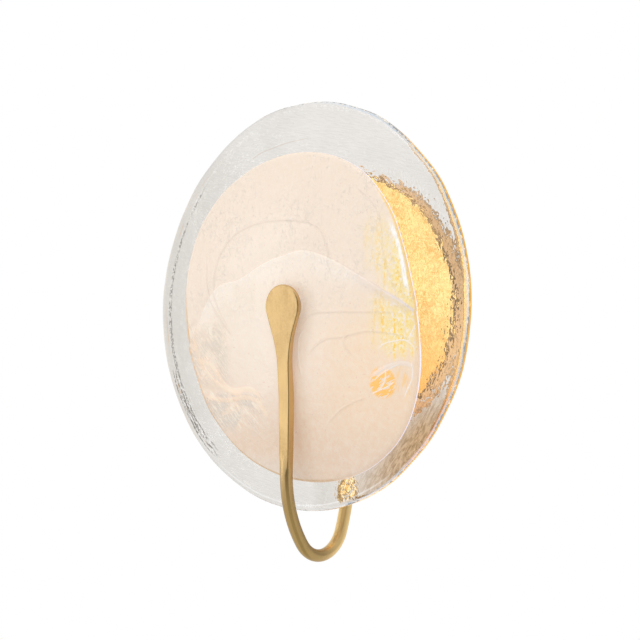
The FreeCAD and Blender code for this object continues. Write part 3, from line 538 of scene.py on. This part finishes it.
class ClearGlass(Finish):
    """Clear cast glass: rolled ripples, painted flecks and glints near the rim and a painted gold glow at
    the edge where it catches the lamp.
    """

    def __init__(self):
        super().__init__(bpy.data.materials.new("clear_cast_glass"))
        self.across, _, self.up = self.place()
        self.edge = self.stored("rim")
        self.inside = self.stored("from_front")
        self.front = self.inside.fade(0.6, 0.2)
        self.lower_right = self.across.fade(15.0, 115.0) * self.up.fade(-45.0, -100.0)
        self.wide = self.grain((38, 38, 38), 3.0, 0.5)
        self.ripple = self.grain((4.2, 4.2, 4.2), 1.0, 0.5, 0.6)
        self.small = self.grain((1.3, 1.3, 2.0), 2.0, 0.6)
        above_stack = self.up - stack_z
        radius = (self.across * self.across + above_stack * above_stack) ** 0.5
        self.ringed = (radius * 2.6 + self.wide * 16.0).sine()
        self.height = self.wide * 1.4 + self.ripple * 0.25 + self.small * 0.008 + self.ringed * 0.006
        self.light = no_light

    def light_up(self, share, colour):
        """Let the glass give off a colour where the share says."""
        self.light = self.mix(share, self.light, colour)

    def paint_body(self):
        """Grey, lighter at the top, with painted white glints and brown streaks over the canopy behind it,
        fine hairs elsewhere and a painted brown tint at the lower right.
        """
        across, up, wide = self.across, self.up, self.wide
        self.tone = self.mix(wide.fade(0.3, 0.7), (0.74, 0.715, 0.675), (0.81, 0.785, 0.75))
        self.paint(up.fade(70.0, 130.0) * across.fade(-60.0, 10.0) * 0.35, (0.93, 0.90, 0.87))
        canopy_across = 55.0
        over_canopy = (((across - canopy_across) ** 2.0 + up * up) ** 0.5).fade(106.0, 94.0)
        over_canopy = over_canopy * across.fade(20.0, 60.0)
        strokes = self.grain((1.4, 2.0, 3.0), 3.0, 0.65, 0.7, 0.15)
        veined = self.small * 0.5 + strokes * 0.5
        # Painted white glints and brown streaks where the canopy shows through
        self.paint(veined.fade(0.50, 0.56) * over_canopy * 0.5, (0.98, 0.97, 0.95))
        self.paint(veined.fade(0.46, 0.42) * over_canopy * 0.25, (0.76, 0.60, 0.40))
        self.paint(self.ringed.fade(0.2, 1.0) * wide.fade(0.45, 0.6) * 0.12, (0.55, 0.53, 0.50))
        hair = self.grain((9, 9, 0.8), 2.0, 0.6, 0.2, -0.2)
        elsewhere = 1.0 - over_canopy
        self.paint(hair.fade(0.52, 0.60) * elsewhere * 0.25, (0.62, 0.60, 0.57))
        self.paint(hair.fade(0.46, 0.38) * elsewhere * 0.2, (0.95, 0.94, 0.92))
        self.paint(across.fade(-60.0, -140.0) * up.fade(-110.0, -80.0) * 0.4, (0.60, 0.57, 0.52))
        # Painted brown tint at the lower right, standing in for gold reflected in the glass
        self.paint(self.lower_right * 0.8, (0.60, 0.44, 0.29))

    def paint_flecks(self):
        """Painted dark flecks and white glints where the rolled edge breaks the light up, and painted amber
        glints near the rim, on the front face only.
        """
        across, up, edge = self.across, self.up, self.edge
        specks = self.grain((1.2, 5.0, 1.8), 3.0, 0.75, 0.4)
        slanting = self.grain((0.9, 5.0, 3.2), 4.0, 0.8, 0.2, 0.55)
        patches = self.grain((9, 9, 30), 2.0, 0.5)
        left = across.fade(-85.0, -98.0) * self.front
        lower = up.fade(-48.0, -60.0) * up.fade(-128.0, -108.0)
        thin_band = ((edge - 12.4 + patches * 1.6) / up.fade(60.0, 20.0, 1.4, 2.6)).line(1.0)
        thin_band = thin_band.fade(0.1, 0.4) * up.fade(-64.0, -54.0) * up.fade(95.0, 80.0)
        thin_band = thin_band * specks.fade(0.49, 0.52) * 0.85
        broken = (edge * 2.0 + patches * 9.0 + slanting * 9.0).sine().fade(0.0, 0.5)
        broken = broken * slanting.fade(0.46, 0.49)
        dense = (edge - 8.5).line(4.5).fade(0.2, 0.5) * up.fade(-58.0, -70.0) * up.fade(-114.0, -98.0)
        broken = broken.most(dense * slanting.fade(0.525, 0.54))
        broad_band = ((edge - 9.5).line(6.5) * lower).fade(0.1, 0.4) * broken * 0.95
        self.paint(thin_band.most(broad_band) * left, (0.03, 0.02, 0.01))
        sparks = (edge - 9.5).line(7.0).fade(0.1, 0.5) * lower * slanting.fade(0.46, 0.42)
        self.paint(sparks * left * 0.8, white)
        amber = (edge - 7.4).line(1.2) * patches.fade(0.48, 0.56) * across.fade(-95.0, -115.0)
        self.paint(amber * self.front * 0.7, (0.72, 0.42, 0.18))

    def paint_gold_light_and_line(self):
        """Painted brown light with darker streaks near the rim at the lower right, standing in for gold
        reflected in the glass, and the line pulled through the top.
        """
        near_rim = self.lower_right * self.edge.fade(26.0, 10.0)
        self.paint(near_rim * 0.6, (0.66, 0.38, 0.14))
        gold_streaks = self.grain((1.8, 6.0, 8.0), 3.0, 0.6, 0.4, -0.6)
        self.paint(near_rim * gold_streaks.fade(0.46, 0.56) * 0.85, (0.28, 0.16, 0.06))
        side, share = self.drawn("pulled_line")
        self.paint(side.line(0.7) * share * self.front * 0.6, (0.55, 0.40, 0.27))

    def paint_rim(self):
        """Painted light round the rim: pale where it is clear, with a cool line and then gold round the
        right edge.
        """
        inside = self.inside
        right_side = self.across.fade(-20.0, 70.0)
        below_top = self.up.fade(128.0, 106.0)
        cool = inside.fade(0.4, 0.8) * inside.fade(2.5, 2.1) * right_side
        gold = inside.fade(2.1, 2.6) * inside.fade(6.3, 5.9) * right_side
        pale = inside.fade(1.2, 2.4) * inside.fade(6.3, 5.7) * (1.0 - right_side)
        self.paint(cool * 0.9, (0.10, 0.10, 0.10))
        self.paint(gold, self.mix(below_top, (0.85, 0.82, 0.78), (1.0, 0.62, 0.20)))
        self.light_up(pale, (0.18, 0.165, 0.145))
        self.light_up(cool, (0.28, 0.34, 0.41))
        self.light_up(gold, self.mix(below_top, (0.42, 0.39, 0.35), (0.80, 0.42, 0.08)))

    def paint_crumpled(self):
        """The crumpled spot at the bottom glitters with painted gold and white glints."""
        crumpled = (self.across - 42.0).line(13.0) * (self.edge - 11.0).line(12.0)
        crumpled = (crumpled * self.up.fade(-110.0, -125.0)).fade(0.1, 0.5)
        crumbs = self.grain((2.2, 2.2, 2.2), 3.0, 0.65, 1.0)
        on_face = crumpled * self.front
        self.light_up(crumbs.fade(0.50, 0.55) * on_face, (0.50, 0.32, 0.10))
        self.paint(crumbs.fade(0.48, 0.53) * on_face, (1.0, 0.72, 0.28))
        self.paint(crumbs.fade(0.46, 0.42) * on_face * 0.8, (1.0, 0.98, 0.93))
        self.paint((crumbs - 0.47).line(0.03) * on_face, (0.08, 0.05, 0.02))
        self.height = self.height + crumpled * self.ripple * 0.8

    def paint_outlines(self):
        """A painted white highlight along the bottom, brown below it and at the left."""
        up, edge = self.up, self.edge
        self.paint((edge - 4.4).line(1.1) * up.fade(-120.0, -135.0) * self.front * 0.9, white)
        self.paint(edge.fade(1.6, 0.8) * up.fade(-60.0, -90.0) * 0.7, (0.62, 0.46, 0.33))
        self.paint(edge.fade(1.3, 0.5) * self.across.fade(0.0, -70.0) * 0.5, (0.46, 0.34, 0.24))

    def finished(self):
        """Clear glass with a faint painted glow of its own round the rim and in the crumpled spot."""
        return self.finish_with(self.surface(
            base_color=self.tone, roughness=0.0, transmission_weight=1.0, ior=glass_ior,
            emission_color=self.light, emission_strength=1.0, normal=self.bump(self.height)))


def clear_finish():
    """The rear disc's finish, painted in layers."""
    glass = ClearGlass()
    glass.paint_body()
    glass.paint_flecks()
    glass.paint_gold_light_and_line()
    glass.paint_rim()
    glass.paint_crumpled()
    glass.paint_outlines()
    return glass.finished()


def plain(name, light, deep, grain_size, metal=0.0, smooth=0.3, rough=0.5, depth=0.02, glow=0.0):
    """A small part's finish: two close tones in a fine grain, with bump to match."""
    finish = new_finish(name)
    cloud_size = grain_size * 6
    cloud = finish.grain((cloud_size,) * 3, 3.0, 0.6)
    fine = finish.grain((grain_size,) * 3, 3.0, 0.6)
    tone = (cloud * 0.5 + fine * 0.5).fade(0.3, 0.7)
    colour = finish.mix(tone, deep, light)
    values = {
        "base_color": colour,
        "metallic": metal,
        "roughness": tone.fade(0.0, 1.0, rough, smooth),
        "normal": finish.bump(fine * depth),
    }
    if glow:
        values["emission_color"] = colour
        values["emission_strength"] = glow
    return finish.finish_with(finish.surface(**values))


def clamped(value):
    """The value, kept between nought and one."""
    return min(max(value, 0.0), 1.0)


def hermite(start, end, before, after, share):
    """A smooth value between start and end that leaves and arrives along its neighbours."""
    leave = (end - before) / 2
    arrive = (after - start) / 2
    square = share * share
    cube = square * share
    kept = 2 * cube - 3 * square + 1
    return kept * start + (1 - kept) * end + (cube - 2 * square + share) * leave + (cube - square) * arrive


def smooth_line(points, steps):
    """Spots on a smooth curve through the points."""
    points = [Vector(point) for point in points]
    padded = [2 * points[0] - points[1]] + points + [2 * points[-1] - points[-2]]
    spots = []
    for index in range(1, len(padded) - 2):
        before, start, end, after = padded[index - 1:index + 3]
        for step in range(steps):
            spots.append(hermite(start, end, before, after, step / steps))
    return spots + [points[-1]]


def crest_height(across):
    """The height of the fold's edge at a place across the disc."""
    index = bisect.bisect_right([spot.x for spot in crest_spots], across)
    index = min(max(index, 1), len(crest_spots) - 1)
    start, end = crest_spots[index - 1], crest_spots[index]
    return start.y + (end.y - start.y) * (across - start.x) / (end.x - start.x)


crest_spots = smooth_line(fold_crest, 8)


def beside_line(spots, spot):
    """How far a spot lies to one side of a line, and how much of the line's strength is left there."""
    nearest = min(range(len(spots)), key=lambda index: (spots[index] - spot).length_squared)
    best = None
    for index in (nearest - 1, nearest):
        if 0 <= index < len(spots) - 1:
            run = spots[index + 1] - spots[index]
            share = (spot - spots[index]).dot(run) / run.length_squared
            gap = spot - spots[index] - run * clamped(share)
            if best is None or gap.length < best[0]:
                best = (gap.length, run.cross(gap), (index + share) / (len(spots) - 1))
    distance, turn, along = best
    strength = clamped(min(along, 1.0 - along) * end_taper) * clamped((line_reach - distance) / line_ease)
    return math.copysign(distance, turn), strength


def plate_profile(inner, outer, thickness, front_steps, back_steps):
    """A flat plate's cut face as (radius, offset back) corners, with a full round rim."""
    half = thickness / 2
    straight = outer - half
    corners = []
    for step in range(front_steps):
        corners.append((inner + (straight - inner) * step / front_steps, 0.0))
    for step in range(rim_steps + 1):
        angle = math.pi * step / rim_steps
        corners.append((straight + half * math.sin(angle), -half + half * math.cos(angle)))
    for step in range(1, back_steps + 1):
        corners.append((straight + (inner - straight) * step / back_steps, -thickness))
    return corners


def turned_plate(corners, steps):
    """The profile turned once about the axis that points out from the wall."""
    mesh = bmesh.new()
    spots = [mesh.verts.new((radius, -offset, 0.0)) for radius, offset in corners]
    edges = [mesh.edges.new(pair) for pair in zip(spots, spots[1:] + spots[:1])]
    bmesh.ops.spin(
        mesh, geom=spots + edges, cent=(0, 0, 0), axis=(0, 1, 0), angle=2 * math.pi, steps=steps,
        use_merge=True)
    bmesh.ops.remove_doubles(mesh, verts=mesh.verts, dist=0.001)
    bmesh.ops.recalc_face_normals(mesh, faces=mesh.faces)
    return mesh


def finished_piece(name, mesh, material, body, replaced):
    """Scale the mesh from millimetres, give it its finish and put it in place of its node."""
    bmesh.ops.scale(mesh, vec=(0.001, 0.001, 0.001), verts=mesh.verts)
    data = bpy.data.meshes.new(name)
    mesh.to_mesh(data)
    mesh.free()
    data.polygons.foreach_set("use_smooth", [True] * len(data.polygons))
    data.materials.append(material)
    piece = bpy.data.objects.new(name, data)
    bpy.context.scene.collection.objects.link(piece)
    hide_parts(replaced)
    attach(piece, body)
    return piece


def wavy(spot, size, seed):
    """Smooth noise at a spot, about -1 to 1, with waves of the given size."""
    return noise.noise(Vector((spot[0] / size + seed, spot[1] / size - seed, seed * 1.7)))


def lobed(lobes, angle):
    """How far an outline swells at an angle: each lobe gives its waves, height and turn."""
    return sum(height * math.cos(waves * angle - math.radians(turn)) for waves, height, turn in lobes)


def frosted_reach(angle):
    """The front disc's radius at an angle."""
    return frosted_radius + lobed(frosted_lobes, angle)


def add_line_layers(mesh, lines):
    """Make room on the points for each line's distance and strength."""
    for name in lines:
        mesh.verts.layers.float.new(name)
        mesh.verts.layers.float.new(name + "_share")


def store_lines(mesh, lines):
    """Store on each point how far it lies beside each line."""
    for name, points in lines.items():
        spots = smooth_line(points, 5)
        side_layer = mesh.verts.layers.float[name]
        share_layer = mesh.verts.layers.float[name + "_share"]
        reach = Vector((line_reach, line_reach))
        low = Vector((min(spot.x for spot in spots), min(spot.y for spot in spots))) - reach
        high = Vector((max(spot.x for spot in spots), max(spot.y for spot in spots))) + reach
        for vert in mesh.verts:
            vert[side_layer] = far_from_line
            if low.x < vert.co.x < high.x and low.y < vert.co.z < high.y:
                vert[side_layer], vert[share_layer] = beside_line(spots, Vector((vert.co.x, vert.co.z)))


def make_frosted_disc():
    """The front disc: lobed outline, domed, its lower part poured over the upper along the fold."""
    hole = glass_hole_radius
    profile = plate_profile(hole, frosted_radius, frosted_thickness, front_steps=56, back_steps=18)
    mesh = turned_plate(profile, steps=320)
    for vert in mesh.verts:
        radius = math.hypot(vert.co.x, vert.co.z)
        angle = math.atan2(vert.co.z, vert.co.x)
        share = (radius - hole) / (frosted_radius - hole)
        reach = frosted_reach(angle) + 0.8 * wavy((math.cos(angle), math.sin(angle)), 0.25, 3)
        inner = Vector((hole * math.cos(angle), 0, stack_z + hole * math.sin(angle)))
        outer = Vector((reach * math.cos(angle), 0, frosted_centre_z + reach * math.sin(angle)))
        spot = inner.lerp(outer, share)
        vert.co = Vector((spot.x, vert.co.y, spot.z - crest_height(spot.x)))
    for level in fold_levels:
        geometry = mesh.verts[:] + mesh.edges[:] + mesh.faces[:]
        bmesh.ops.bisect_plane(mesh, geom=geometry, dist=0.02, plane_co=(0, 0, level), plane_no=(0, 0, 1))
    for name in ("above_fold", "rim", "from_front"):
        mesh.verts.layers.float.new(name)
    above_layer = mesh.verts.layers.float["above_fold"]
    rim_layer = mesh.verts.layers.float["rim"]
    inside_layer = mesh.verts.layers.float["from_front"]
    add_line_layers(mesh, cords | pale_cords | ribs)
    lip_start, lip_width = 0.3, 1.5
    bead_height, bead_drop, bead_spread = 0.5, 2.5, 3.5
    for vert in mesh.verts:
        above = vert.co.z
        offset = -vert.co.y
        height = above + crest_height(vert.co.x)
        slope = (crest_height(vert.co.x + 1) - crest_height(vert.co.x - 1)) / 2
        vert[above_layer] = above / math.hypot(1, slope)
        vert[inside_layer] = -offset
        front = clamped((offset + frosted_thickness) / frosted_thickness)
        from_stack = math.hypot(vert.co.x, height - stack_z)
        seat = clamped((from_stack - seat_radius) / seat_blend)
        angle = math.atan2(height - frosted_centre_z, vert.co.x)
        vert[rim_layer] = frosted_reach(angle) - math.hypot(vert.co.x, height - frosted_centre_z)
        lip = clamped((lip_start - above) / lip_width)
        lip = lip * lip * (3 - 2 * lip)
        bead = bead_height * math.exp(-((above + bead_drop) / bead_spread) ** 2)
        layer = (lip - 1.0) * fold_rise + bead * lip
        ripple = 0.7 * wavy((vert.co.x, height), 34.0, 5) + 0.25 * wavy((vert.co.x, height), 12.0, 8)
        dome = -(from_stack ** 2) / (2 * frosted_ball_radius)
        out = frosted_front_out + dome + offset + front * seat * (layer + ripple)
        vert.co = Vector((vert.co.x, -out, height))
    store_lines(mesh, cords | pale_cords | ribs)
    return finished_piece(
        "frosted_disc", mesh, frosted_finish(), "fixture", "frosted_glass")


def make_clear_disc():
    """The rear disc: nearly round, domed, with a rolled surface and a fire-polished rim."""
    profile = plate_profile(glass_hole_radius, clear_radius, clear_thickness, front_steps=64, back_steps=40)
    mesh = turned_plate(profile, steps=400)
    mesh.verts.layers.float.new("rim")
    mesh.verts.layers.float.new("from_front")
    rim_layer = mesh.verts.layers.float["rim"]
    inside_layer = mesh.verts.layers.float["from_front"]
    add_line_layers(mesh, clear_lines)
    for vert in mesh.verts:
        radius = math.hypot(vert.co.x, vert.co.z)
        angle = math.atan2(vert.co.z, vert.co.x)
        offset = -vert.co.y
        share = radius / clear_radius
        vert[rim_layer] = clear_radius - radius
        vert[inside_layer] = -offset
        swell = lobed(clear_lobes, angle) + 0.9 * wavy((math.cos(angle), math.sin(angle)), 0.2, 11)
        radius += swell * share ** 3
        front = clamped((offset + clear_thickness) / clear_thickness)
        seat = clamped((radius - seat_radius) / seat_blend)
        x = radius * math.cos(angle)
        z = radius * math.sin(angle)
        front_wave = 0.6 * wavy((x, z), 40.0, 2) + 0.2 * wavy((x, z), 13.0, 4)
        back_wave = 0.6 * wavy((x, z), 46.0, 7) + 0.2 * wavy((x, z), 15.0, 9)
        wave = seat * (front * front_wave + (1 - front) * back_wave)
        out = clear_front_out + offset - radius ** 2 / (2 * clear_ball_radius) + wave
        vert.co = Vector((x, -out, z + stack_z))
    store_lines(mesh, clear_lines)
    return finished_piece("clear_disc", mesh, clear_finish(), "fixture", "clear_glass")


def dress_nodes():
    """Give each carried-over part its finish."""
    finishes = {
        "arm_brass": aged_brass(
            "aged_brass", (0.67, 0.465, 0.22), (0.58, 0.395, 0.175), smooth=0.36, rough=0.44, painted_shading=0.8),
        "stack_brass": aged_brass(
            "turned_brass", (0.78, 0.56, 0.27), (0.62, 0.42, 0.18), smooth=0.22, rough=0.34, painted_shading=0.0),
        "canopy_gold": satin_gold(),
        "zinc_steel": plain(
            "zinc_plate", (0.70, 0.71, 0.74), (0.50, 0.50, 0.50), 1.2, metal=1.0, smooth=0.28, rough=0.46,
            depth=0.03),
        "silicone": plain(
            "clear_silicone", (0.86, 0.86, 0.83), (0.76, 0.76, 0.73), 0.8, smooth=0.35, rough=0.5),
        "nylon": plain("white_nylon", (0.86, 0.85, 0.81), (0.78, 0.77, 0.73), 0.8, smooth=0.35, rough=0.5),
        "ceramic": plain(
            "glazed_ceramic", (0.86, 0.83, 0.77), (0.76, 0.73, 0.66), 1.0, smooth=0.12, rough=0.3),
        "contact_metal": plain(
            "nickel_plate", (0.78, 0.77, 0.74), (0.62, 0.61, 0.57), 0.6, metal=1.0, smooth=0.2, rough=0.35),
        "green_screw": plain(
            "green_enamel", (0.08, 0.36, 0.14), (0.05, 0.26, 0.10), 0.8, smooth=0.25, rough=0.4),
        "lamp_glass": plain(
            "lit_lamp_cover", (1.0, 0.86, 0.66), (0.98, 0.80, 0.58), 3.0, smooth=0.3, rough=0.4, glow=1.6),
        "lamp_core": plain(
            "lit_lamp_core", (1.0, 0.84, 0.60), (1.0, 0.78, 0.50), 1.0, smooth=0.4, rough=0.6, glow=2.5),
        "lead_live": plain(
            "dark_sleeve", (0.10, 0.09, 0.08), (0.06, 0.05, 0.05), 0.9, smooth=0.4, rough=0.55),
        "lead_neutral": plain(
            "pale_sleeve", (0.78, 0.77, 0.73), (0.68, 0.67, 0.62), 0.9, smooth=0.4, rough=0.55),
    }
    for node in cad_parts.values():
        for slot in node.material_slots:
            name = slot.material.name.split(".")[0]
            if name in finishes:
                slot.material = finishes[name]


def light_the_world():
    """Even studio light, with a white backdrop and a darker room on the camera's side."""
    world = bpy.data.worlds.new("studio")
    bpy.context.scene.world = world
    finish = Finish(world)
    path = "ShaderNodeLightPath"
    direct = finish.add(path, output="Is Camera Ray")
    direct = direct.most(finish.add(path, output="Is Transmission Ray"))
    mirrored = finish.add(path, output="Is Glossy Ray")
    heading = finish.add("ShaderNodeTexCoord", output="Generated")
    dot = {"operation": "DOT_PRODUCT"}
    room_side = (0.652, -0.758, 0.0)
    left_side = (-0.758, -0.652, 0.0)
    dull = 0.62
    to_room = finish.add("ShaderNodeVectorMath", dot, {0: heading, 1: room_side}, "Value")
    to_left = finish.add("ShaderNodeVectorMath", dot, {0: heading, 1: left_side}, "Value")
    room = to_left.fade(-1.0, 0.9, dull, 1.0) * to_room.fade(0.72, 1.0, 1.0, 0.2)
    strength = direct + (1.0 - direct) * (mirrored * room + (1.0 - mirrored) * dull)
    shader = finish.add("ShaderNodeBackground", None, {"Color": (1.0, 1.0, 1.0, 1.0), "Strength": strength})
    finish.add("ShaderNodeOutputWorld", None, {"Surface": shader})


def make_floor():
    """A plain pale floor well below the sconce."""
    floor_height = -0.6
    mesh = bmesh.new()
    bmesh.ops.create_grid(mesh, x_segments=8, y_segments=8, size=4.0)
    bmesh.ops.translate(mesh, vec=(0.0, 0.0, floor_height), verts=mesh.verts)
    data = bpy.data.meshes.new("floor")
    mesh.to_mesh(data)
    mesh.free()
    floor = bpy.data.objects.new("floor", data)
    bpy.context.scene.collection.objects.link(floor)
    finish = new_finish("pale_floor")
    path = "ShaderNodeLightPath"
    seen = finish.add(path, output="Is Camera Ray")
    seen = seen.most(finish.add(path, output="Is Transmission Ray"))
    seen = seen.most(finish.add(path, output="Is Glossy Ray"))
    matte = finish.surface(base_color=(0.8, 0.8, 0.79), roughness=0.8)
    blank = finish.add("ShaderNodeEmission", None, {"Color": (1.0, 1.0, 1.0, 1.0), "Strength": 1.0})
    data.materials.append(finish.finish_with(finish.mix_shaders(seen, matte, blank)))


def add_lamp(name, place, aim, width, height, power):
    """A white softbox turned to its aim, in metres and watts."""
    data = bpy.data.lights.new(name, "AREA")
    data.shape = "RECTANGLE"
    data.size = width
    data.size_y = height
    data.energy = power
    data.color = white
    lamp = bpy.data.objects.new(name, data)
    bpy.context.scene.collection.objects.link(lamp)
    lamp.location = place
    lamp.rotation_mode = "QUATERNION"
    lamp.rotation_quaternion = (Vector(aim) - Vector(place)).to_track_quat("-Z", "Y")


def light_the_studio():
    """A weak strip at the front left and a softbox above the front."""
    middle = (0.0, -0.07, 0.0)
    turn = math.radians(-47.0)
    distance = 1.6
    strip = (distance * math.sin(turn), -0.07 - distance * math.cos(turn), 0.0)
    add_lamp("strip_softbox", strip, middle, width=0.28, height=0.66, power=1.0)
    add_lamp("overhead_softbox", (0.3, -0.9, 1.5), middle, width=1.2, height=0.8, power=5.0)


def place_camera():
    """The photograph's viewpoint: level, 1.5 m off, round to the right of the sconce's front."""
    data = bpy.data.cameras.new("camera")
    data.sensor_width = 36.0
    data.lens = 112.05
    camera = bpy.data.objects.new("camera", data)
    bpy.context.scene.collection.objects.link(camera)
    turn = math.radians(40.7)
    rise = math.radians(-0.15)
    distance = 1.5
    aim_left = 0.00093
    aim_down = 0.0134
    away = Vector((math.sin(turn) * math.cos(rise), -math.cos(turn) * math.cos(rise), math.sin(rise)))
    sideways = Vector((math.cos(turn), math.sin(turn), 0.0))
    middle = Vector((0.0, -0.053, 0.0))
    camera.location = middle + away * distance
    aim = middle - sideways * aim_left - Vector((0.0, 0.0, aim_down))
    camera.rotation_mode = "QUATERNION"
    camera.rotation_quaternion = (aim - camera.location).to_track_quat("-Z", "Y")
    bpy.context.scene.camera = camera


bpy.context.scene.view_settings.view_transform = "Standard"
place_camera()
light_the_world()
light_the_studio()
make_floor()
dress_nodes()
make_frosted_disc()
make_clear_disc()
